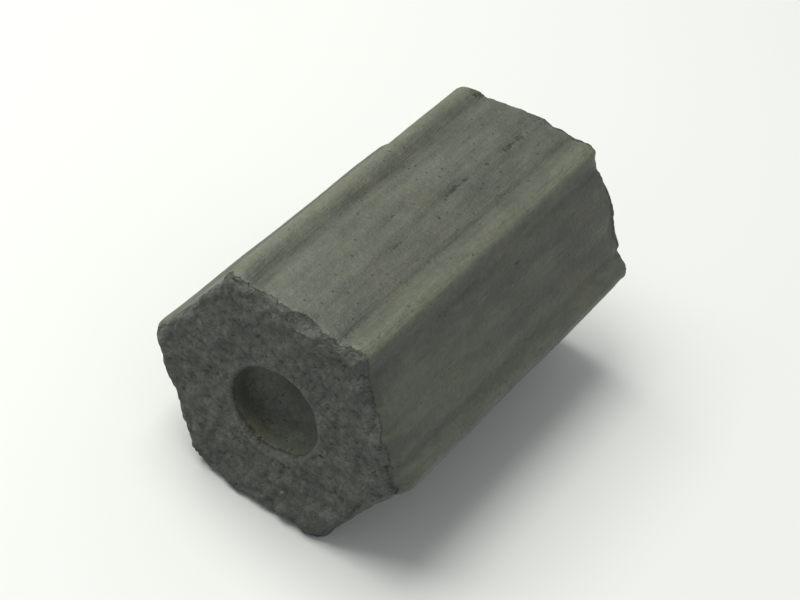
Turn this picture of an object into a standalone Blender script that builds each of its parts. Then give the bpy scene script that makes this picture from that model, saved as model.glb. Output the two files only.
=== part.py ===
"""A charcoal briquette: coconut char pressed through a die into a hexagonal bar with a bead
along each corner and a round bore on its axis, then broken off to length.

It lies on one side of the hexagon with its bore along X. The origin is on the surface that
it lies on, under the middle of its box, and +Z is up. A turn is an angle round the bore,
from +Y towards +Z, and an end is -1 or 1, for -X or +X."""

import math
import random

import bmesh
import bpy
from mathutils import Vector, noise

# Driving dimensions, in metres
ACROSS_BEADS = 0.0500
LENGTH = 0.0712
BORE = 0.0166
BEAD_WIDTH = 0.0078
BEAD_TOP = 0.0016
BEAD_RISE = 0.0008
CREST_RADIUS = 0.0034
GROOVE_DEPTH = 0.00030
GROOVE_WIDTH = 0.0009
FACE_CROWN = 0.0002

# Wear of the rims, of their corners and of the bore's mouths, as radii
RIM_WEAR = 0.0013
SIDE_WEAR = 0.0021
CORNER_WEAR = 0.0008
MOUTH_WEAR = 0.0009
# Turn of the side where each rim is worn most, in degrees
WORN_SIDE = {-1: 195, 1: 20}
# How far the flats go into the two lower beads
LAND_DEPTH = 0.00030

# Slope of each end, and the turn that it is shifted towards +X at, in degrees
END_SLANT = {-1: (0.012, 90), 1: (0.085, 170)}
# How far in from the ends the lumps of the break and the ragged rims die out
BREAK_REACH = 0.0090
RAGGED_REACH = 0.0055

# Layers of smooth noise: height, size of a lump and seed
SWELLS = (0.00022, 0.016, 11)
RAGGED = (0.00036, 0.0038, 13)
LUMPS = (0.0008, 0.0075, 17)
CRUMBS = (0.0005, 0.0032, 23)
BITE_GRAIN = (0.00045, 0.0022, 31)
# The same for the patches of wear, whose height is a share of the wear
WEAR_PATCHES = (1.1, 0.009, 5)
SEED_STEP = Vector((1, 2.3, 3.7))

# Bites out of the rims: end, turn in degrees, depth and radius of the ball that takes it
NOTED_BITES = (
    (-1, 94, 0.0013, 0.0042),
    (-1, 128, 0.0008, 0.0045),
    (-1, 242, 0.0012, 0.0060),
    (-1, 301, 0.0014, 0.0050),
    (1, 60, 0.0019, 0.0050),
    (1, 118, 0.0010, 0.0050),
    (1, 268, 0.0018, 0.0070),
)
# The rest are drawn from these ranges of depth and radius
SMALL_BITES = 14
SMALL_BITE_DEPTH = (0.0005, 0.0011)
SMALL_BITE_RADIUS = (0.0026, 0.0045)
BITE_LEAN = 0.9
WORN_SHARE = 0.45
SEED = 7

# Faces
CORNERS = 6
STEPS_PER_CORNER = 15
STEPS_ALONG = 26
STEPS_ACROSS_END = 12
STEPS_DOWN_BORE = 6
CORNER_CROWDING = 0.7
END_CROWDING = 0.25

SECTOR = 2 * math.pi / CORNERS
BORE_RADIUS = BORE / 2
BEAD_RADIUS = ACROSS_BEADS / 2
HALF_LENGTH = LENGTH / 2
CORNER_LOSS = CREST_RADIUS * (1 / math.cos(SECTOR / 2) - 1)
HALF_FLATS = (BEAD_RADIUS + CORNER_LOSS - BEAD_RISE) * math.cos(SECTOR / 2)
HALF_SIDE = HALF_FLATS * math.tan(SECTOR / 2)


def clear_scene():
    for obj in list(bpy.data.objects):
        bpy.data.objects.remove(obj, do_unlink=True)


def charcoal_material():
    material = bpy.data.materials.new("pressed charcoal")
    material.use_nodes = True
    shader = material.node_tree.nodes["Principled BSDF"]
    shader.inputs["Base Color"].default_value = (0.070, 0.073, 0.064, 1.0)
    shader.inputs["Roughness"].default_value = 0.72
    shader.inputs["Metallic"].default_value = 0.0
    return material


def bumps(point, layer):
    """One layer of noise at a point, mostly between -0.6 and 0.6 of its height."""
    height, size, seed = layer
    return height * noise.noise(point / size + seed * SEED_STEP)


def hollows(point, layer):
    """The same, raised to lie mostly between 0 and its height, to be taken away."""
    return 0.5 * layer[0] + bumps(point, layer)


def smooth_step(value):
    value = min(max(value, 0.0), 1.0)
    return value * value * (3 - 2 * value)


def lengthwise_loop():
    """(x, radius) round the wall of the blank: along the outside, in across one end, back
    down the bore and out across the other end."""
    outside, end, bore = [], [], []
    for step in range(STEPS_ALONG):
        share = 2 * step / STEPS_ALONG - 1
        share += END_CROWDING * share * (1 - share * share)
        outside.append((HALF_LENGTH * share, BEAD_RADIUS))
    for step in range(STEPS_ACROSS_END):
        share = step / STEPS_ACROSS_END
        share -= END_CROWDING * math.sin(2 * math.pi * share) / (2 * math.pi)
        end.append((HALF_LENGTH, BEAD_RADIUS + share * (BORE_RADIUS - BEAD_RADIUS)))
    for step in range(STEPS_DOWN_BORE):
        share = 2 * step / STEPS_DOWN_BORE - 1
        share += END_CROWDING * share * (1 - share * share)
        bore.append((-HALF_LENGTH * share, BORE_RADIUS))
    other_end = [(-x, BORE_RADIUS + BEAD_RADIUS - radius) for x, radius in end]
    return outside + end + bore + other_end


def turned_blank():
    """A round tube along X as one closed surface."""
    bm = bmesh.new()
    points = [bm.verts.new((x, radius, 0)) for x, radius in lengthwise_loop()]
    for here, there in zip(points, points[1:] + points[:1]):
        bm.edges.new((here, there))
    bmesh.ops.spin(
        bm,
        geom=bm.verts[:] + bm.edges[:],
        axis=(1, 0, 0),
        cent=(0, 0, 0),
        angle=2 * math.pi,
        steps=CORNERS * STEPS_PER_CORNER,
        use_merge=True,
    )
    bmesh.ops.remove_doubles(bm, verts=bm.verts[:], dist=1e-6)
    bmesh.ops.recalc_face_normals(bm, faces=bm.faces[:])
    return bm


def section_radius(turn):
    """The die's outline, as a distance from the axis. Corners are at whole sectors."""
    from_corner = abs((turn + SECTOR / 2) % SECTOR - SECTOR / 2)
    from_middle = HALF_FLATS * math.tan(SECTOR / 2 - from_corner)
    along = HALF_SIDE - from_middle
    radius = HALF_FLATS / math.cos(SECTOR / 2 - from_corner)
    radius += FACE_CROWN * (1 - (from_middle / HALF_SIDE) ** 2)
    rounded = max(1 - along / (CREST_RADIUS * math.tan(SECTOR / 2)), 0)
    radius -= CORNER_LOSS * rounded * rounded
    radius += BEAD_RISE * (1 - smooth_step((2 * along - BEAD_TOP) / (BEAD_WIDTH - BEAD_TOP)))
    radius -= GROOVE_DEPTH * math.exp(-(((along - BEAD_WIDTH / 2) / GROOVE_WIDTH) ** 2))
    return radius


def rolled(depth, height, radius):
    """A point near a square edge, rolled onto an arc. Its distances from the edge's two
    faces go in and come out."""
    if depth >= radius or height >= radius:
        return depth, height
    shrink = radius / math.hypot(radius - depth, radius - height)
    return radius - shrink * (radius - depth), radius - shrink * (radius - height)


def rim_and_mouth_wear(end, turn, outer):
    """Radii that the rim and the bore's mouth are worn to: patchy all round, and for the rim
    more on one side and at the corners."""
    place = Vector((end * HALF_LENGTH, outer * math.cos(turn), outer * math.sin(turn)))
    patchy = bumps(place, WEAR_PATCHES)
    one_side = max(math.cos(turn - math.radians(WORN_SIDE[end])), 0) ** 2
    at_corner = max(math.cos(CORNERS * turn), 0) ** 3
    rim = RIM_WEAR + SIDE_WEAR * one_side + CORNER_WEAR * at_corner
    return rim * (1 + patchy), MOUTH_WEAR * (1 + patchy / 2)


def side_relief(place):
    """How far a point of the outer wall stands out: gentle swells, and a ragged rim."""
    near_end = smooth_step(1 - (HALF_LENGTH - abs(place.x)) / RAGGED_REACH)
    return bumps(place, SWELLS) - near_end * hollows(place, RAGGED)


def break_relief(place):
    """How far back the bar broke off at a point of its end: lumps, with crumbs on them."""
    return hollows(place, LUMPS) + hollows(place, CRUMBS)


def slant(end, turn, radius, depth):
    """How far an end's slope shifts a point towards +X, less and less away from the end."""
    slope, towards = END_SLANT[end]
    fading = (1 - depth / HALF_LENGTH) ** 4
    return slope * radius * math.cos(turn - math.radians(towards)) * fading


def pressed(point):
    """Where the die, the break and the wear of the edges put a point of the round blank."""
    turn = math.atan2(point.z, point.y)
    turn -= CORNER_CROWDING * math.sin(CORNERS * turn) / CORNERS
    around = Vector((0, math.cos(turn), math.sin(turn)))
    outer = section_radius(turn)
    wall = outer - BORE_RADIUS
    share = (math.hypot(point.y, point.z) - BORE_RADIUS) / (BEAD_RADIUS - BORE_RADIUS)
    end = 1 if point.x > 0 else -1
    depth = HALF_LENGTH - abs(point.x)
    rim, mouth = rim_and_mouth_wear(end, turn, outer)
    if share > 0.5:
        depth, under = rolled(depth, (1 - share) * wall, rim)
        share = 1 - under / wall
    else:
        depth, over = rolled(depth, share * wall, mouth)
        share = over / wall
    # The relief moves whole stretches of the bar, so it can't fold one over another
    radius = BORE_RADIUS + share * (wall + side_relief(around * outer + Vector((point.x, 0, 0))))
    broken = smooth_step(1 - depth / BREAK_REACH)
    depth += broken * break_relief(around * radius + Vector((end * HALF_LENGTH, 0, 0)))
    x = end * (HALF_LENGTH - depth) + slant(end, turn, radius, depth)
    return around * radius + Vector((x, 0, 0))


def wanted_bites():
    """(end, turn in degrees, depth, radius) of each bite."""
    draw = random.Random(SEED)
    wanted = list(NOTED_BITES)
    for _ in range(SMALL_BITES):
        end = draw.choice((-1, 1))
        turn = draw.uniform(0, 360)
        depth = draw.uniform(*SMALL_BITE_DEPTH)
        wanted.append((end, turn, depth, draw.uniform(*SMALL_BITE_RADIUS)))
    return wanted


def bites():
    """(centre, radius) of each ball that takes a bite out of a rim."""
    balls = []
    for end, degrees, depth, radius in wanted_bites():
        turn = math.radians(degrees)
        around = Vector((0, math.cos(turn), math.sin(turn)))
        outer = section_radius(turn)
        rim = around * outer + Vector((end * HALF_LENGTH + slant(end, turn, outer, 0), 0, 0))
        outward = (around + Vector((end * BITE_LEAN, 0, 0))).normalized()
        # The worn rim lies inside the square one, so the ball starts from there
        worn = rim - outward * WORN_SHARE * RIM_WEAR
        balls.append((worn + outward * (radius - depth), radius))
    return balls


def bitten(point, balls):
    for centre, radius in balls:
        away = point - centre
        rough = radius + bumps(point, BITE_GRAIN)
        if away.length < rough:
            point = centre + away.normalized() * rough
    return point


def settle(bm):
    """Lays the lower two beads on the surface, with a narrow flat where they touch it, and
    centres the box over the origin."""
    floor = -HALF_FLATS - BEAD_RISE * math.cos(SECTOR / 2) + LAND_DEPTH
    for vert in bm.verts:
        vert.co.z = max(vert.co.z - floor, 0)
    for axis in (0, 1):
        places = [vert.co[axis] for vert in bm.verts]
        middle = (min(places) + max(places)) / 2
        for vert in bm.verts:
            vert.co[axis] -= middle


def briquette_mesh():
    bm = turned_blank()
    balls = bites()
    for vert in bm.verts:
        vert.co = bitten(pressed(vert.co), balls)
    settle(bm)
    mesh = bpy.data.meshes.new("briquette")
    bm.to_mesh(mesh)
    bm.free()
    mesh.shade_smooth()
    mesh.set_sharp_from_angle(angle=math.radians(40))
    return mesh


def build():
    clear_scene()
    collection = bpy.data.collections.new("coconut charcoal briquette")
    bpy.context.scene.collection.children.link(collection)
    briquette = bpy.data.objects.new("briquette", briquette_mesh())
    briquette.data.materials.append(charcoal_material())
    collection.objects.link(briquette)


build()
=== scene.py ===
"""Looks of the coconut charcoal briquette: the form of the frame's solid with a fine grain,
its procedural charcoal, a pale floor, soft light and a camera.

A turn is an angle round the bore, from +Y towards +Z, and an end is -1 or 1, for -X or +X."""

import math
import random

import bmesh
import bpy
from mathutils import Matrix, Vector, noise


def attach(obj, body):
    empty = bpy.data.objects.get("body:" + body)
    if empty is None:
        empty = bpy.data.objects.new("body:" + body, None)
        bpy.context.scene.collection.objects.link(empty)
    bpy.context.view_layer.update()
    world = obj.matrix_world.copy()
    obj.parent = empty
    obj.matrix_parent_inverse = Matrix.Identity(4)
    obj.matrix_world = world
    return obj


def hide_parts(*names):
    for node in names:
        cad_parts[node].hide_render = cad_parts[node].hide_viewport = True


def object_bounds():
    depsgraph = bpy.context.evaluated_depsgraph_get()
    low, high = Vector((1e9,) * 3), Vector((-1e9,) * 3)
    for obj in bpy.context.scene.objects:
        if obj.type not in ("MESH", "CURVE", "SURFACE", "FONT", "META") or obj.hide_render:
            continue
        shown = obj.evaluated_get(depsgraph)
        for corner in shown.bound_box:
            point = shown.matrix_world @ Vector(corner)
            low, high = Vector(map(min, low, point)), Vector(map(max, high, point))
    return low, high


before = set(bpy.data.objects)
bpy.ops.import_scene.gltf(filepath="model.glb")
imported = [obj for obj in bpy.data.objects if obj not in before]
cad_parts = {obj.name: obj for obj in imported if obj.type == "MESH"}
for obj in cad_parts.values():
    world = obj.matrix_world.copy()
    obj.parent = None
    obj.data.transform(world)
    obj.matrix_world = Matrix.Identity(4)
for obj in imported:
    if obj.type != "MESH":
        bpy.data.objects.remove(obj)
cad_low, cad_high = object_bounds()

# The pressed form, in metres, as in the part
ACROSS_BEADS = 0.0500
LENGTH = 0.0712
BORE = 0.0166
BEAD_WIDTH = 0.0078
BEAD_TOP = 0.0016
BEAD_RISE = 0.0008
CREST_RADIUS = 0.0034
GROOVE_DEPTH = 0.00030
GROOVE_WIDTH = 0.0009
FACE_CROWN = 0.0002

# Wear, ends and bites, as in the part
RIM_WEAR = 0.0013
SIDE_WEAR = 0.0021
CORNER_WEAR = 0.0008
MOUTH_WEAR = 0.0009
WORN_SIDE = {-1: 195, 1: 20}
LAND_DEPTH = 0.00030
END_SLANT = {-1: (0.012, 90), 1: (0.085, 170)}
BREAK_REACH = 0.0090
RAGGED_REACH = 0.0055
NOTED_BITES = (
    (-1, 94, 0.0013, 0.0042),
    (-1, 128, 0.0008, 0.0045),
    (-1, 242, 0.0012, 0.0060),
    (-1, 301, 0.0014, 0.0050),
    (1, 60, 0.0019, 0.0050),
    (1, 118, 0.0010, 0.0050),
    (1, 268, 0.0018, 0.0070),
)
SMALL_BITES = 14
SMALL_BITE_DEPTH = (0.0005, 0.0011)
SMALL_BITE_RADIUS = (0.0026, 0.0045)
BITE_LEAN = 0.9
WORN_SHARE = 0.45
SEED = 7

# Layers of smooth noise, as in the part: height, size of a lump and seed
SWELLS = (0.00022, 0.016, 11)
RAGGED = (0.00036, 0.0038, 13)
LUMPS = (0.0008, 0.0075, 17)
CRUMBS = (0.0005, 0.0032, 23)
BITE_GRAIN = (0.00045, 0.0022, 31)
WEAR_PATCHES = (1.1, 0.009, 5)
SEED_STEP = Vector((1, 2.3, 3.7))

# Grain that only the fine surface has: height and size of its coarsest octave. Each further
# octave is finer and lower
FINER = 2.1
FALLOFF = 0.7
BREAK_OCTAVES = 4
SIDE_OCTAVES = 3
GRAIN = (0.00030, 0.0014)
RIM_GRAIN = (0.00018, 0.0014)
BITE_ROUGHNESS = (0.00014, 0.0013)
SKIN = (0.00003, 0.0012)
# Lengthwise drag lines: height, and how long, wide and deep their noise is
STREAKS = (0.00006, (0.034, 0.0016, 0.0016))
SCRATCHES = (0.00002, (0.018, 0.0006, 0.0006))
# Granules of the break: depth of the gaps between them, how far each stands out, and size; and
# how far from its middle, in granules, a granule falls off to the gap
GRANULES = (0.00024, 0.00018, 0.0019)
GRANULE_EDGE = 0.7
# Open pores: depth, size, and share of the cells that have one
END_PORES = (0.00040, (0.0013, 0.0013, 0.0013), 0.12)
SIDE_PORES = (0.00020, (0.0030, 0.0016, 0.0016), 0.07)
# Depth of the shallowest pore as a share of the deepest, and a pore's radius in cells
SHALLOWEST_PORE = 0.4
PORE_RADIUS = 0.45
# Numbers that scatter the cells' own random values
PORE_SCATTER = 5.3
GRANULE_SCATTER = 7.1
# How far from the bore and from the sides the fine grain of the ends grows to its full height,
# and the share of it that is left at the sides
SMOOTH_MOUTH = 0.0016
SMOOTH_RIM = 0.0012
RIM_SHARE = 0.2
# How far from the bore the coarse lumps are lower, and the share of them left at its mouth
CALM_MOUTH = 0.0030
MOUTH_LUMPS = 0.3

# Torn places seen on the upper side: share of the length, turn in degrees, half length, half
# width and depth
TEARS = (
    (0.62, 93, 0.0040, 0.0009, 0.00016),
    (0.74, 94, 0.0020, 0.0006, 0.00013),
    (0.86, 95, 0.0046, 0.0011, 0.00016),
    (0.52, 99, 0.0022, 0.0010, 0.00014),
    (0.42, 84, 0.0016, 0.0009, 0.00014),
    (0.96, 66, 0.0018, 0.0007, 0.00026),
)
# Further torn places at random: how many, and the ranges of the same sizes
RANDOM_TEARS = 14
TEAR_HALF_LENGTH = (0.0008, 0.0028)
TEAR_HALF_WIDTH = (0.0003, 0.0007)
TEAR_DEPTH = (0.00010, 0.00018)
TEAR_SPREAD = 0.9
# Size of the noise that frays a tear, how steep its edge is, and how many half lengths and half
# widths it reaches
TEAR_FRAY = (0.0022, 0.0009, 0.0009)
TEAR_EDGE = 1.5
TEAR_REACH = (1.6, 2)

# Paler and darker patches seen on the upper side, two of the darker ones painted shade: share of
# the length, turn in degrees, half length, half width, and how pale, down to -1 for dark
PATCHES = (
    (0.05, 80, 0.0065, 0.0038, 1.0),
    (0.18, 75, 0.0100, 0.0022, 0.9),
    (0.58, 78, 0.0090, 0.0028, 0.9),
    (0.82, 83, 0.0060, 0.0018, 0.5),
    (0.41, 83, 0.0050, 0.0022, -0.7),
    (0.62, 103, 0.0060, 0.0022, -0.5),
    (0.75, 93, 0.0150, 0.0010, -0.9),
    # Painted shade over the half of the upper face turned away from the lamp
    (0.45, 105, 0.0340, 0.0040, -0.7),
    (0.75, 113, 0.0140, 0.0007, -0.5),
    # A line of painted shade along the groove at a bead's foot
    (0.50, 68.4, 0.0400, 0.0007, -0.7),
)
# How far out a patch starts to fade, how soft its edge is, and the noise that frays it
PATCH_RADIUS = 1.3
PATCH_SOFTNESS = 1.2
PATCH_FRAY = 0.9
PATCH_FRAY_SIZES = (0.006, 0.002, 0.002)
# Paleness painted in the bore as light, at the mouth and inside, and the depth where it is full
MOUTH_TONE = 1.0
BORE_TONE = 3.0
BORE_PALE_FROM = 0.016
# Share of the wall, out from the bore, that counts as the bore's own surface
BORE_SKIN = 0.02
# How far from an end the surface is that of the break
BROKEN_REACH = 0.0020
# Depth at which a tear or pore is painted fully dark, as shade that deepens with depth
DARK_DEPTH = 0.0004
# Crest of each bead, from the one at +Y on, painted pale as wear and as highlight: how pale, and
# its half width
CREST_WEAR_AND_HIGHLIGHTS = (
    # The beads on the upper side, where the lamp falls, carry the most painted highlight
    (0.7, 0.0019),
    (1.2, 0.0021),
    (1.3, 0.0014),
    (0.3, 0.0019),
    (0.5, 0.0019),
    (0.5, 0.0019),
)
# How dark the shade painted in the grooves at the beads' feet is on each side, from the one above
# +Y on, and their half width
FOOT_SHADES = (0.5, 1.0, 0.15, 0.5, 0.5, 0.5)
GROOVE_SHADE = 0.0008

# Faces of the fine surface
CORNERS = 6
STEPS_PER_CORNER = 70
STEPS_ALONG = 108
STEPS_ACROSS_END = 48
STEPS_DOWN_BORE = 26
CORNER_CROWDING = 0.4
END_CROWDING = 0.4

# Noise of the charcoal's colour: lumps in a metre, octaves and roughness. Those of the sides
# are fewer along the bar than across it
BANDS = ((28, 260, 260), 3.0, 0.6)
STREAK_LINES = ((60, 800, 800), 4.0, 0.65)
SCRATCH_LINES = ((240, 2400, 2400), 3.0, 0.65)
BLOTCHES = ((110, 330, 330), 3.0, 0.6)
MOTTLE = (260.0, 4.0, 0.65)
GRIT = (1300.0, 5.0, 0.75)
CLOUDS = (80.0, 3.0, 0.55)
# Cells of the crumbs, grains, pores and flecks in a metre, and the noise that bends the first two
WARP = (700.0, 0.0009)
CRUMB_CELLS = 950.0
GRAIN_CELLS = 2100.0
PORE_CELLS = 1500.0
FLECK_CELLS = 700.0
PORE_SPOT = 0.26
FLECK_SPOT = 0.20
# How much the mottle and grit fray the edge of each mark
FRAYING = (("broken", 2.6), ("torn", 2.2), ("crest_wear_highlight_and_groove_shade", 1.6), ("tone", 1.4))
# Height of the fine bump, and roughness of the break
BUMP_HEIGHT = 0.0004
BREAK_ROUGHNESS = 0.85

# Colours, linear
SIDE_DARK = (0.043, 0.048, 0.035, 1)
SIDE_PALE = (0.073, 0.081, 0.056, 1)
BLOTCH_PALE = (0.085, 0.092, 0.067, 1)
BLOTCH_DARK = (0.043, 0.047, 0.035, 1)
PATCH_PALE = (0.095, 0.102, 0.077, 1)
PATCH_DARK_AND_SHADE = (0.041, 0.045, 0.034, 1)
CREST_WEAR_AND_HIGHLIGHT_PALE = (0.107, 0.117, 0.080, 1)
FOOT_SHADE_DARK = (0.036, 0.039, 0.032, 1)
SCRATCH_PALE = (0.100, 0.107, 0.085, 1)
SCRATCH_DARK = (0.028, 0.031, 0.025, 1)
BORE_PAINTED_LIGHT = (0.42, 0.43, 0.39, 1)
BREAK_DARK = (0.077, 0.086, 0.073, 1)
BREAK_PALE = (0.101, 0.112, 0.095, 1)
BROWN = (0.096, 0.086, 0.052, 1)
TORN_SHADE = (0.026, 0.029, 0.025, 1)
GAP_SHADE = (0.018, 0.020, 0.017, 1)
PORE_SHADE = (0.016, 0.017, 0.015, 1)
FLECK_PALE = (0.26, 0.26, 0.20, 1)
FLOOR_COLOUR = (0.62, 0.63, 0.61, 1)

# Floor: half its side, how far below the briquette it lies, and its roughness
FLOOR_HALF_SIDE = 2.0
FLOOR_DROP = 0.00002
FLOOR_ROUGHNESS = 0.9

# Light: an even pale studio, and one large soft lamp nearly overhead
STUDIO_COLOUR = (0.95, 0.98, 1.0, 1)
STUDIO_STRENGTH = 0.53
KEY_PLACE = (-0.06, 0.28, 0.68)
KEY_AIM = (0, 0, 0.02)
KEY_SIZE = 0.55
KEY_POWER = 7.0
KEY_COLOUR = (1.0, 1.0, 0.95)

# Camera: where it stands from the briquette, and how it leans
VIEW_AZIMUTH = -65.2
VIEW_ELEVATION = 43.2
CAMERA_LEAN = -14.3
CAMERA_DISTANCE = 0.3586
LENS = 96
SENSOR = 36

SECTOR = 2 * math.pi / CORNERS
BORE_RADIUS = BORE / 2
BEAD_RADIUS = ACROSS_BEADS / 2
HALF_LENGTH = LENGTH / 2
CORNER_LOSS = CREST_RADIUS * (1 / math.cos(SECTOR / 2) - 1)
HALF_FLATS = (BEAD_RADIUS + CORNER_LOSS - BEAD_RISE) * math.cos(SECTOR / 2)
HALF_SIDE = HALF_FLATS * math.tan(SECTOR / 2)


def bumps(point, layer):
    """One layer of noise at a point, mostly between -0.6 and 0.6 of its height."""
    height, size, seed = layer
    return height * noise.noise(point / size + seed * SEED_STEP)


def hollows(point, layer):
    """The same, raised to lie mostly between 0 and its height, to be taken away."""
    return 0.5 * layer[0] + bumps(point, layer)


def grain(point, layer, octaves=SIDE_OCTAVES):
    height, size = layer
    return height * noise.fractal(point / size, FALLOFF, FINER, octaves)


def stretched(point, sizes):
    return Vector([point[axis] / sizes[axis] for axis in range(3)])


def smooth_step(value):
    value = min(max(value, 0.0), 1.0)
    return value * value * (3 - 2 * value)


def lengthwise_loop():
    """(x, radius) round the wall of the blank: along the outside, in across one end, back
    down the bore and out across the other end."""
    outside, end, bore = [], [], []
    for step in range(STEPS_ALONG):
        share = 2 * step / STEPS_ALONG - 1
        share += END_CROWDING * share * (1 - share * share)
        outside.append((HALF_LENGTH * share, BEAD_RADIUS))
    for step in range(STEPS_ACROSS_END):
        share = step / STEPS_ACROSS_END
        share -= END_CROWDING * math.sin(2 * math.pi * share) / (2 * math.pi)
        end.append((HALF_LENGTH, BEAD_RADIUS + share * (BORE_RADIUS - BEAD_RADIUS)))
    for step in range(STEPS_DOWN_BORE):
        share = 2 * step / STEPS_DOWN_BORE - 1
        share += END_CROWDING * share * (1 - share * share)
        bore.append((-HALF_LENGTH * share, BORE_RADIUS))
    other_end = [(-x, BORE_RADIUS + BEAD_RADIUS - radius) for x, radius in end]
    return outside + end + bore + other_end


def turned_blank():
    """A round tube along X as one closed surface."""
    bm = bmesh.new()
    points = [bm.verts.new((x, radius, 0)) for x, radius in lengthwise_loop()]
    for here, there in zip(points, points[1:] + points[:1]):
        bm.edges.new((here, there))
    bmesh.ops.spin(
        bm,
        geom=bm.verts[:] + bm.edges[:],
        axis=(1, 0, 0),
        cent=(0, 0, 0),
        angle=2 * math.pi,
        steps=CORNERS * STEPS_PER_CORNER,
        use_merge=True,
    )
    bmesh.ops.remove_doubles(bm, verts=bm.verts[:], dist=1e-6)
    bmesh.ops.recalc_face_normals(bm, faces=bm.faces[:])
    return bm


def section_radius(turn):
    """The die's outline, as a distance from the axis. Corners are at whole sectors."""
    from_corner = abs((turn + SECTOR / 2) % SECTOR - SECTOR / 2)
    from_middle = HALF_FLATS * math.tan(SECTOR / 2 - from_corner)
    along = HALF_SIDE - from_middle
    radius = HALF_FLATS / math.cos(SECTOR / 2 - from_corner)
    radius += FACE_CROWN * (1 - (from_middle / HALF_SIDE) ** 2)
    rounded = max(1 - along / (CREST_RADIUS * math.tan(SECTOR / 2)), 0)
    radius -= CORNER_LOSS * rounded * rounded
    radius += BEAD_RISE * (1 - smooth_step((2 * along - BEAD_TOP) / (BEAD_WIDTH - BEAD_TOP)))
    radius -= GROOVE_DEPTH * math.exp(-(((along - BEAD_WIDTH / 2) / GROOVE_WIDTH) ** 2))
    return radius


def rolled(depth, height, radius):
    """A point near a square edge, rolled onto an arc. Its distances from the edge's two
    faces go in and come out."""
    if depth >= radius or height >= radius:
        return depth, height
    shrink = radius / math.hypot(radius - depth, radius - height)
    return radius - shrink * (radius - depth), radius - shrink * (radius - height)


def rim_and_mouth_wear(end, turn, outer):
    """Radii that the rim and the bore's mouth are worn to: patchy all round, and for the rim
    more on one side and at the corners."""
    place = Vector((end * HALF_LENGTH, outer * math.cos(turn), outer * math.sin(turn)))
    patchy = bumps(place, WEAR_PATCHES)
    one_side = max(math.cos(turn - math.radians(WORN_SIDE[end])), 0) ** 2
    at_corner = max(math.cos(CORNERS * turn), 0) ** 3
    rim = RIM_WEAR + SIDE_WEAR * one_side + CORNER_WEAR * at_corner
    return rim * (1 + patchy), MOUTH_WEAR * (1 + patchy / 2)


def pore(place, layer):
    """Depth of the pores at a point: rounded holes in some of the cells of a cell noise."""
    depth, sizes, share = layer
    distances, centres = noise.voronoi(stretched(place, sizes))
    chance = 0.5 + 0.5 * noise.cell(centres[0] * PORE_SCATTER)
    if chance > share:
        return 0
    depth *= SHALLOWEST_PORE + (1 - SHALLOWEST_PORE) * chance / share
    return depth * smooth_step(1 - distances[0] / PORE_RADIUS)


def tear(place, turn, tears):
    """Depth of the torn places: shallow, ragged and longer than wide."""
    depth = 0
    for x, across, half_length, half_width, full in tears:
        from_middle = (turn - across + math.pi) % (2 * math.pi) - math.pi
        u = (place.x - x) / half_length
        v = from_middle * BEAD_RADIUS / half_width
        if abs(u) < TEAR_REACH[0] and abs(v) < TEAR_REACH[1]:
            edge = 1 - u * u - v * v + noise.noise(stretched(place, TEAR_FRAY))
            depth = max(depth, full * smooth_step(TEAR_EDGE * edge))
    return depth


def side_relief(place, turn, tears):
    """How far a point of the outer wall stands out, and how deep it is torn or open there."""
    near_end = smooth_step(1 - (HALF_LENGTH - abs(place.x)) / RAGGED_REACH)
    height = bumps(place, SWELLS) - near_end * hollows(place, RAGGED)
    height += near_end * grain(place, RIM_GRAIN) + grain(place, SKIN)
    for tall, sizes in (STREAKS, SCRATCHES):
        height += tall * noise.noise(stretched(place, sizes))
    gone = max(tear(place, turn, tears), pore(place, SIDE_PORES))
    return height - gone, gone


def break_relief(place, from_bore, from_side):
    """How far back the bar broke off at a point of its end, and how deep a pore is there. The
    fine grain fades out towards the bore, and most of it towards the sides, and the coarse
    lumps are lower round the bore's mouth."""
    fine = grain(place, GRAIN, BREAK_OCTAVES)
    gap_depth, stand_out, size = GRANULES
    distances, centres = noise.voronoi(place / size)
    fine += gap_depth * min(distances[0] / GRANULE_EDGE, 1) ** 2
    fine -= stand_out * noise.cell(centres[0] * GRANULE_SCATTER)
    at_side = 1 - smooth_step(from_side / SMOOTH_RIM)
    fading = smooth_step(from_bore / SMOOTH_MOUTH) * (1 - (1 - RIM_SHARE) * at_side)
    open_there = fading * pore(place, END_PORES)
    off_mouth = MOUTH_LUMPS + (1 - MOUTH_LUMPS) * smooth_step(from_bore / CALM_MOUTH)
    coarse = off_mouth * (bumps(place, LUMPS) + bumps(place, CRUMBS))
    return (LUMPS[0] + CRUMBS[0]) / 2 + coarse + fading * fine + open_there, open_there


def slant(end, turn, radius, depth):
    """How far an end's slope shifts a point towards +X, less and less away from the end."""
    slope, towards = END_SLANT[end]
    fading = (1 - depth / HALF_LENGTH) ** 4
    return slope * radius * math.cos(turn - math.radians(towards)) * fading


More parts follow.
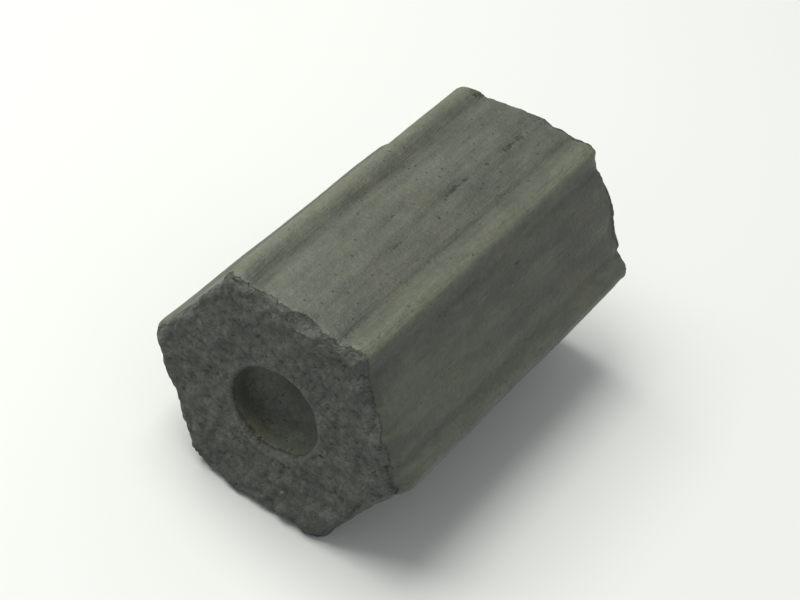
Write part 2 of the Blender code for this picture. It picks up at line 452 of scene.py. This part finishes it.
def pressed(point, tears):
    """Where the die, the break and the wear of the edges put a point of the round blank, and
    its marks: how broken and torn the surface is there, its crests painted pale as wear and
    highlight and its grooves dark as shade, and how pale it is, with painted light in the bore."""
    turn = math.atan2(point.z, point.y)
    turn -= CORNER_CROWDING * math.sin(CORNERS * turn) / CORNERS
    around = Vector((0, math.cos(turn), math.sin(turn)))
    outer = section_radius(turn)
    wall = outer - BORE_RADIUS
    share = (math.hypot(point.y, point.z) - BORE_RADIUS) / (BEAD_RADIUS - BORE_RADIUS)
    end = 1 if point.x > 0 else -1
    depth = HALF_LENGTH - abs(point.x)
    rim, mouth = rim_and_mouth_wear(end, turn, outer)
    if share > 0.5:
        depth, under = rolled(depth, (1 - share) * wall, rim)
        share = 1 - under / wall
    else:
        depth, over = rolled(depth, share * wall, mouth)
        share = over / wall
    on_side = around * outer + Vector((point.x, 0, 0))
    relief, torn = side_relief(on_side, turn, tears)
    radius = BORE_RADIUS + share * (wall + relief)
    rough = smooth_step(1 - depth / BROKEN_REACH)
    broken = smooth_step(1 - depth / BREAK_REACH)
    on_end = around * radius + Vector((end * HALF_LENGTH, 0, 0))
    back, pores = break_relief(on_end, radius - BORE_RADIUS, outer - radius)
    depth += broken * back
    x = end * (HALF_LENGTH - depth) + slant(end, turn, radius, depth)
    # In the bore the wall is painted pale as light, paler deeper in
    if share < BORE_SKIN:
        tone = MOUTH_TONE + (BORE_TONE - MOUTH_TONE) * smooth_step(depth / BORE_PALE_FROM)
    else:
        tone = patch_tone(on_side, turn)
    marks = rough, max(torn * share, pores * rough), share * crest_wear_highlight_and_groove_shade(turn), tone
    return around * radius + Vector((x, 0, 0)), marks


def wanted_bites():
    """(end, turn in degrees, depth, radius) of each bite."""
    draw = random.Random(SEED)
    wanted = list(NOTED_BITES)
    for _ in range(SMALL_BITES):
        end = draw.choice((-1, 1))
        turn = draw.uniform(0, 360)
        depth = draw.uniform(*SMALL_BITE_DEPTH)
        wanted.append((end, turn, depth, draw.uniform(*SMALL_BITE_RADIUS)))
    return wanted


def bites():
    """(centre, radius) of each ball that takes a bite out of a rim."""
    balls = []
    for end, degrees, depth, radius in wanted_bites():
        turn = math.radians(degrees)
        around = Vector((0, math.cos(turn), math.sin(turn)))
        outer = section_radius(turn)
        rim = around * outer + Vector((end * HALF_LENGTH + slant(end, turn, outer, 0), 0, 0))
        outward = (around + Vector((end * BITE_LEAN, 0, 0))).normalized()
        # The worn rim lies inside the square one, so the ball starts from there
        worn = rim - outward * WORN_SHARE * RIM_WEAR
        balls.append((worn + outward * (radius - depth), radius))
    return balls


def bitten(point, balls):
    """The point pushed out of every ball, and whether one held it."""
    inside = 0.0
    for centre, radius in balls:
        away = point - centre
        rough = radius + bumps(point, BITE_GRAIN)
        if away.length < rough:
            point = centre + away.normalized() * (rough + grain(point, BITE_ROUGHNESS))
            inside = 1.0
    return point, inside


def crest_wear_highlight_and_groove_shade(turn):
    """Above 0 along a bead's crest, which is painted pale there as wear and highlight, below 0
    along the groove at its foot, which is painted dark there as shade, and 0 on the flats.
    """
    from_corner = abs((turn + SECTOR / 2) % SECTOR - SECTOR / 2)
    along = HALF_SIDE - HALF_FLATS * math.tan(SECTOR / 2 - from_corner)
    pale, half_width = CREST_WEAR_AND_HIGHLIGHTS[round(turn / SECTOR) % CORNERS]
    crest = pale * math.exp(-((along / half_width) ** 2))
    foot = math.exp(-(((along - BEAD_WIDTH / 2 - GROOVE_SHADE / 2) / GROOVE_SHADE) ** 2))
    return crest - FOOT_SHADES[math.floor(turn / SECTOR) % CORNERS] * foot


def patch_tone(place, turn):
    """How much paler or darker the patches make a point of the sides, with soft ragged edges; some
    of the darker ones are painted shade.
    """
    tone = 0
    for share, degrees, half_length, half_width, strength in PATCHES:
        u = (place.x - HALF_LENGTH * (2 * share - 1)) / half_length
        v = (turn - math.radians(degrees)) * BEAD_RADIUS / half_width
        edge = PATCH_RADIUS - math.hypot(u, v)
        edge += PATCH_FRAY * noise.noise(stretched(place, PATCH_FRAY_SIZES))
        tone += strength * smooth_step(edge / PATCH_SOFTNESS)
    return min(tone, 1)


def all_tears():
    """(x, turn, half length, half width, depth) of each torn place."""
    draw = random.Random(SEED + 1)
    found = []
    for share, degrees, half_length, half_width, depth in TEARS:
        x = HALF_LENGTH * (2 * share - 1)
        found.append((x, math.radians(degrees), half_length, half_width, depth))
    for _ in range(RANDOM_TEARS):
        x = draw.uniform(-TEAR_SPREAD, TEAR_SPREAD) * HALF_LENGTH
        turn = draw.uniform(0, 2 * math.pi)
        half_length = draw.uniform(*TEAR_HALF_LENGTH)
        half_width = draw.uniform(*TEAR_HALF_WIDTH)
        found.append((x, turn, half_length, half_width, draw.uniform(*TEAR_DEPTH)))
    return found


def settle(bm):
    """Lays the lower two beads on the surface, as the solid lies, and keeps every point
    inside the solid's box."""
    floor = -HALF_FLATS - BEAD_RISE * math.cos(SECTOR / 2) + LAND_DEPTH
    for axis in (0, 1):
        places = [vert.co[axis] for vert in bm.verts]
        shift = (cad_low[axis] + cad_high[axis] - min(places) - max(places)) / 2
        for vert in bm.verts:
            vert.co[axis] = min(max(vert.co[axis] + shift, cad_low[axis]), cad_high[axis])
    for vert in bm.verts:
        vert.co.z = min(max(vert.co.z - floor, 0), cad_high.z)


def briquette_piece():
    """The fine surface, with the marks that its material needs stored on its points."""
    bm = turned_blank()
    balls = bites()
    tears = all_tears()
    marks = []
    for vert in bm.verts:
        place, (broken, torn, crest_highlight_and_shade, tone) = pressed(vert.co, tears)
        vert.co, inside = bitten(place, balls)
        marks.append((max(broken, inside), torn / DARK_DEPTH, crest_highlight_and_shade * (1 - inside), tone))
    settle(bm)
    mesh = bpy.data.meshes.new("charcoal_body")
    bm.to_mesh(mesh)
    bm.free()
    mesh.shade_smooth()
    for name, values in zip(("broken", "torn", "crest_wear_highlight_and_groove_shade", "tone"), zip(*marks)):
        mesh.attributes.new(name, "FLOAT", "POINT").data.foreach_set("value", values)
    piece = bpy.data.objects.new("charcoal_body", mesh)
    bpy.context.scene.collection.objects.link(piece)
    return piece


class Nodes:
    """Adds nodes to a material and links them, left to right."""

    def __init__(self, material):
        material.use_nodes = True
        self.tree = material.node_tree
        self.tree.nodes.clear()
        self.count = 0

    def add(self, kind, inputs=None, **settings):
        node = self.tree.nodes.new(kind)
        node.location = (200 * self.count, 0)
        self.count += 1
        for name, value in settings.items():
            setattr(node, name, value)
        for name, value in (inputs or {}).items():
            self.feed(node.inputs[name], value)
        return node

    def feed(self, socket, value):
        if isinstance(value, bpy.types.NodeSocket):
            self.tree.links.new(value, socket)
        else:
            socket.default_value = value

    def noise(self, where, scale, detail, roughness):
        node = self.add(
            "ShaderNodeTexNoise",
            {"Vector": where, "Scale": scale, "Detail": detail, "Roughness": roughness},
        )
        return node.outputs["Fac"]

    def spots(self, where, scale, radius, rarity):
        """1 in round spots, in those cells whose own random grey is above the rarity."""
        node = self.add("ShaderNodeTexVoronoi", {"Vector": where, "Scale": scale})
        grey = self.add("ShaderNodeSeparateColor", {"Color": node.outputs["Color"]})
        chosen = self.maths("GREATER_THAN", grey.outputs["Red"], rarity)
        near = self.fit(node.outputs["Distance"], radius * 1.2, radius * 0.8)
        return self.maths("MULTIPLY", near, chosen)

    def granules(self, where, scale):
        """Rounded grains, 1 in their middles and 0 in the gaps, and each grain's own grey."""
        node = self.add("ShaderNodeTexVoronoi", {"Vector": where, "Scale": scale})
        grey = self.add("ShaderNodeSeparateColor", {"Color": node.outputs["Color"]})
        return self.fit(node.outputs["Distance"], 0.75, 0.0), grey.outputs["Green"]

    def warped(self, where, scale, reach):
        """Places shifted by noise, so that cells on them lose their straight edges."""
        node = self.add("ShaderNodeTexNoise", {"Vector": where, "Scale": scale, "Detail": 2.0})
        shift = self.scaled(node.outputs["Color"], reach)
        moved = self.add("ShaderNodeVectorMath", operation="ADD")
        self.feed(moved.inputs[0], where)
        self.feed(moved.inputs[1], shift)
        return moved.outputs["Vector"]

    def stretched_noise(self, where, scale, detail, roughness):
        """Noise with its own scale along each axis."""
        node = self.add("ShaderNodeMapping", {"Vector": where, "Scale": scale})
        return self.noise(node.outputs["Vector"], 1.0, detail, roughness)

    def fit(self, value, low, high, to_low=0.0, to_high=1.0):
        """The value mapped from one range onto another, and kept inside it."""
        node = self.add(
            "ShaderNodeMapRange",
            {
                "Value": value,
                "From Min": low,
                "From Max": high,
                "To Min": to_low,
                "To Max": to_high,
            },
        )
        return node.outputs["Result"]

    def maths(self, operation, first, second=0.0):
        node = self.add("ShaderNodeMath", operation=operation)
        self.feed(node.inputs[0], first)
        self.feed(node.inputs[1], second)
        return node.outputs["Value"]

    def blend(self, first, share, second):
        """Two values added in shares."""
        rest = self.maths("MULTIPLY", first, 1 - share)
        return self.maths("ADD", rest, self.maths("MULTIPLY", second, share))

    def scaled(self, colour, factor):
        node = self.add("ShaderNodeVectorMath", operation="SCALE")
        self.feed(node.inputs[0], colour)
        self.feed(node.inputs["Scale"], factor)
        return node.outputs["Vector"]

    def mix(self, share, first, second):
        """Two colours mixed."""
        node = self.add("ShaderNodeMix", data_type="RGBA")
        self.feed(node.inputs[0], share)
        self.feed(node.inputs[6], first)
        self.feed(node.inputs[7], second)
        return node.outputs[2]

    def tint(self, colour, mark, low, high, most, tinge):
        """The colour with a tinge where a mark lies past low, at most from high on."""
        return self.mix(self.fit(mark, low, high, 0.0, most), colour, tinge)

    def mix_value(self, share, first, second):
        """Two values mixed."""
        node = self.add("ShaderNodeMix", data_type="FLOAT")
        self.feed(node.inputs[0], share)
        self.feed(node.inputs[2], first)
        self.feed(node.inputs[3], second)
        return node.outputs[0]


def fray_marks(nodes, mottle, grit):
    """The marks stored on the surface, each with an edge frayed by the mottle and grit."""
    ragged = nodes.maths("SUBTRACT", nodes.blend(grit, 0.35, mottle), 0.5)
    marks = {}
    for name, raggedness in FRAYING:
        mark = nodes.add("ShaderNodeAttribute", attribute_name=name).outputs["Fac"]
        marks[name] = nodes.maths("ADD", mark, nodes.maths("MULTIPLY", ragged, raggedness))
    return marks


def side_colour(nodes, where, marks, streaks, scratches):
    """The pressed sides: bands, streaks, blotches and patches along the bar, some patches painted
    shade, crests painted pale as wear and highlight, painted shade at the beads' feet, fine
    scratches, and painted light in the bore."""
    bands = nodes.stretched_noise(where, *BANDS)
    blotches = nodes.stretched_noise(where, *BLOTCHES)
    side = nodes.mix(nodes.fit(nodes.blend(bands, 0.40, streaks), 0.40, 0.60), SIDE_DARK, SIDE_PALE)
    side = nodes.tint(side, blotches, 0.50, 0.66, 0.5, BLOTCH_PALE)
    side = nodes.tint(side, blotches, 0.50, 0.34, 0.5, BLOTCH_DARK)
    side = nodes.tint(side, marks["tone"], 0.0, 1.2, 0.80, PATCH_PALE)
    # Dark patches, some of them painted shade
    side = nodes.tint(side, marks["tone"], 0.0, -1.0, 0.60, PATCH_DARK_AND_SHADE)
    # Crests painted pale, as wear and as highlight
    side = nodes.tint(side, marks["crest_wear_highlight_and_groove_shade"], 0.1, 1.3, 0.90, CREST_WEAR_AND_HIGHLIGHT_PALE)
    # Painted shade in the grooves at the beads' feet
    side = nodes.tint(side, marks["crest_wear_highlight_and_groove_shade"], -0.2, -1.1, 0.35, FOOT_SHADE_DARK)
    side = nodes.tint(side, scratches, 0.58, 0.74, 0.30, SCRATCH_PALE)
    side = nodes.tint(side, scratches, 0.42, 0.28, 0.25, SCRATCH_DARK)
    # Painted light in the bore
    return nodes.tint(side, marks["tone"], 1.35, 2.5, 1.0, BORE_PAINTED_LIGHT)


def charcoal_material():
    """Char pressed smooth on the sides, with lengthwise streaks, and open and granular where
    it is broken or torn."""
    material = bpy.data.materials.new("pressed charcoal")
    nodes = Nodes(material)
    where = nodes.add("ShaderNodeTexCoord").outputs["Object"]
    streaks = nodes.stretched_noise(where, *STREAK_LINES)
    scratches = nodes.stretched_noise(where, *SCRATCH_LINES)
    mottle = nodes.noise(where, *MOTTLE)
    grit = nodes.noise(where, *GRIT)
    clouds = nodes.noise(where, *CLOUDS)
    warped = nodes.warped(where, *WARP)
    crumb, crumb_grey = nodes.granules(warped, CRUMB_CELLS)
    grain, grain_grey = nodes.granules(warped, GRAIN_CELLS)

    marks = fray_marks(nodes, mottle, grit)
    broken = nodes.fit(marks["broken"], 0.42, 0.62)
    torn = nodes.fit(marks["torn"], 0.35, 0.90)
    open_there = nodes.maths("MAXIMUM", broken, torn)
    pore = nodes.spots(where, PORE_CELLS, PORE_SPOT, nodes.mix_value(open_there, 0.95, 0.91))
    fleck = nodes.spots(warped, FLECK_CELLS, FLECK_SPOT, nodes.mix_value(broken, 0.998, 0.975))

    side = side_colour(nodes, where, marks, streaks, scratches)
    end = nodes.mix(nodes.fit(mottle, 0.36, 0.64), BREAK_DARK, BREAK_PALE)
    colour = nodes.mix(broken, side, end)
    colour = nodes.tint(colour, clouds, 0.56, 0.68, 0.28, BROWN)
    # Painted shade in tears and pores, darker the deeper they are
    colour = nodes.mix(nodes.maths("MULTIPLY", torn, 0.26), colour, TORN_SHADE)
    greys = nodes.blend(nodes.blend(grain_grey, 0.5, crumb_grey), 0.30, grit)
    contrast = nodes.mix_value(open_there, 0.40, 0.46)
    light = nodes.maths("MULTIPLY", nodes.maths("SUBTRACT", greys, 0.5), contrast)
    colour = nodes.scaled(colour, nodes.maths("ADD", light, 1.0))
    # Painted shade in the gaps between the crumbs, more where the surface is broken or torn
    gap_shade = nodes.fit(crumb, 0.30, 0.0)
    gap_shade = nodes.maths("MULTIPLY", gap_shade, nodes.mix_value(open_there, 0.10, 0.28))
    colour = nodes.mix(gap_shade, colour, GAP_SHADE)
    # Painted shade in the open pores
    colour = nodes.mix(nodes.maths("MULTIPLY", pore, 0.6), colour, PORE_SHADE)
    colour = nodes.mix(nodes.maths("MULTIPLY", fleck, 0.6), colour, FLECK_PALE)

    worn_smooth = nodes.fit(streaks, 0.35, 0.65, 0.42, 0.60)
    side_height = nodes.blend(nodes.blend(scratches, 0.4, grit), 0.15, grain)
    side_height = nodes.maths("MULTIPLY", side_height, 0.75)
    end_height = nodes.maths("ADD", nodes.blend(crumb, 0.3, grain), grit)
    end_height = nodes.maths("MULTIPLY", end_height, 1.5)
    height = nodes.mix_value(open_there, side_height, end_height)
    height = nodes.maths("SUBTRACT", height, nodes.maths("MULTIPLY", pore, 0.35))
    bump = nodes.add("ShaderNodeBump", {"Height": height, "Distance": BUMP_HEIGHT, "Strength": 1.0})
    shader = nodes.add(
        "ShaderNodeBsdfPrincipled",
        {
            "Base Color": colour,
            "Roughness": nodes.mix_value(open_there, worn_smooth, BREAK_ROUGHNESS),
            "Normal": bump.outputs["Normal"],
        },
    )
    out = nodes.add("ShaderNodeOutputMaterial")
    nodes.feed(out.inputs["Surface"], shader.outputs["BSDF"])
    return material


def floor_material():
    material = bpy.data.materials.new("pale floor")
    material.use_nodes = True
    shader = material.node_tree.nodes["Principled BSDF"]
    shader.inputs["Base Color"].default_value = FLOOR_COLOUR
    shader.inputs["Roughness"].default_value = FLOOR_ROUGHNESS
    return material


def add_floor():
    mesh = bpy.data.meshes.new("floor")
    bm = bmesh.new()
    bmesh.ops.create_grid(bm, x_segments=1, y_segments=1, size=FLOOR_HALF_SIDE)
    bm.to_mesh(mesh)
    bm.free()
    floor = bpy.data.objects.new("floor", mesh)
    floor.location.z = -FLOOR_DROP
    floor.data.materials.append(floor_material())
    bpy.context.scene.collection.objects.link(floor)


def add_studio():
    world = bpy.data.worlds.new("studio")
    world.use_nodes = True
    background = world.node_tree.nodes["Background"]
    background.inputs["Color"].default_value = STUDIO_COLOUR
    background.inputs["Strength"].default_value = STUDIO_STRENGTH
    bpy.context.scene.world = world


def add_key_light():
    light = bpy.data.lights.new("key", "AREA")
    light.size = KEY_SIZE
    light.energy = KEY_POWER
    light.color = KEY_COLOUR
    obj = bpy.data.objects.new("key", light)
    obj.location = KEY_PLACE
    towards = Vector(KEY_AIM) - Vector(KEY_PLACE)
    obj.rotation_euler = towards.to_track_quat("-Z", "Y").to_euler()
    bpy.context.scene.collection.objects.link(obj)


def add_camera():
    azimuth = math.radians(VIEW_AZIMUTH)
    elevation = math.radians(VIEW_ELEVATION)
    lean = math.radians(CAMERA_LEAN)
    level = Vector((math.cos(azimuth), math.sin(azimuth), 0))
    back = Vector(
        (
            math.sin(azimuth) * math.cos(elevation),
            -math.cos(azimuth) * math.cos(elevation),
            math.sin(elevation),
        )
    )
    up = back.cross(level) * math.cos(lean) + level * math.sin(lean)
    right = up.cross(back)
    data = bpy.data.cameras.new("camera")
    data.lens = LENS
    data.sensor_width = SENSOR
    data.clip_start = 0.01
    camera = bpy.data.objects.new("camera", data)
    place = (cad_low + cad_high) / 2 + back * CAMERA_DISTANCE
    turned = Matrix((right, up, back)).transposed().to_4x4()
    camera.matrix_world = Matrix.Translation(place) @ turned
    bpy.context.scene.collection.objects.link(camera)
    bpy.context.scene.camera = camera


bpy.context.scene.view_settings.view_transform = "Standard"
add_camera()
add_studio()
add_key_light()
add_floor()
piece = briquette_piece()
piece.data.materials.append(charcoal_material())
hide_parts("briquette")
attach(piece, "root")
